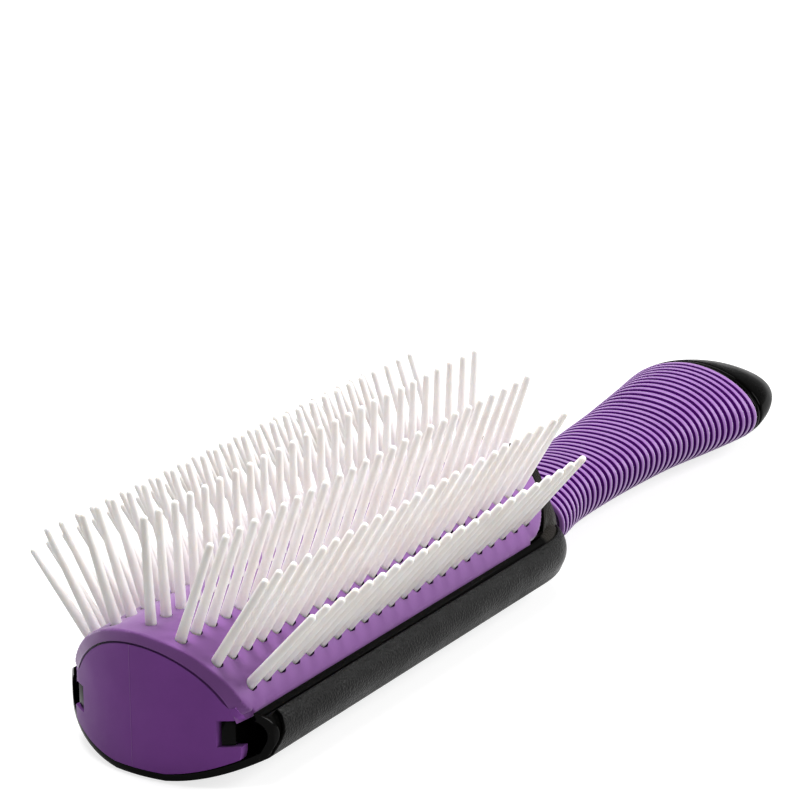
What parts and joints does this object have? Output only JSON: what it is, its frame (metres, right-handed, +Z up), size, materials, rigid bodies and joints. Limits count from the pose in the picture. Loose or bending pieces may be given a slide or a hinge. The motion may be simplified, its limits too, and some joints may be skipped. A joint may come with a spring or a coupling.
{
  "type": "detangling brush",
  "caption": "Half-round styling brush: arched rubber pad with rows of thin nylon pins that slides into a black rail frame, and a ribbed S-curved grip with a rounded end cap.",
  "frame": {"origin": "middle of the brush in plan, on the surface that it lies on with its back down", "axes": "+X from the free end of the head to the end of the handle, +Y across the head, +Z up, out of the pad and along its middle pins"},
  "size_m": [0.2186, 0.0576, 0.0447],
  "materials": {
    "frame_plastic": "smooth glossy black moulding",
    "shell_plastic": "fine leather-like grain, soft black",
    "pad_rubber": "matte purple rubber",
    "pin_nylon": "translucent white nylon",
    "grip_rubber": "satin purple rubber with ribs",
    "cap_plastic": "polished black plastic"
  },
  "bodies": {
    "frame": {"frame_body": "frame_plastic", "back_shell": "shell_plastic", "grip_sleeve": "grip_rubber", "end_cap": "cap_plastic"},
    "cushion": {"pad": "pad_rubber", "pin_row_1": "pin_nylon", "pin_row_2": "pin_nylon", "pin_row_3": "pin_nylon", "pin_row_4": "pin_nylon", "pin_row_5": "pin_nylon", "pin_row_6": "pin_nylon", "pin_row_7": "pin_nylon"}
  },
  "joints": [
    {"name": "pad_slide", "type": "slide", "parent": "frame", "child": "cushion", "axis": [-1, 0, 0], "range_m": [0, 0.12]}
  ]
}
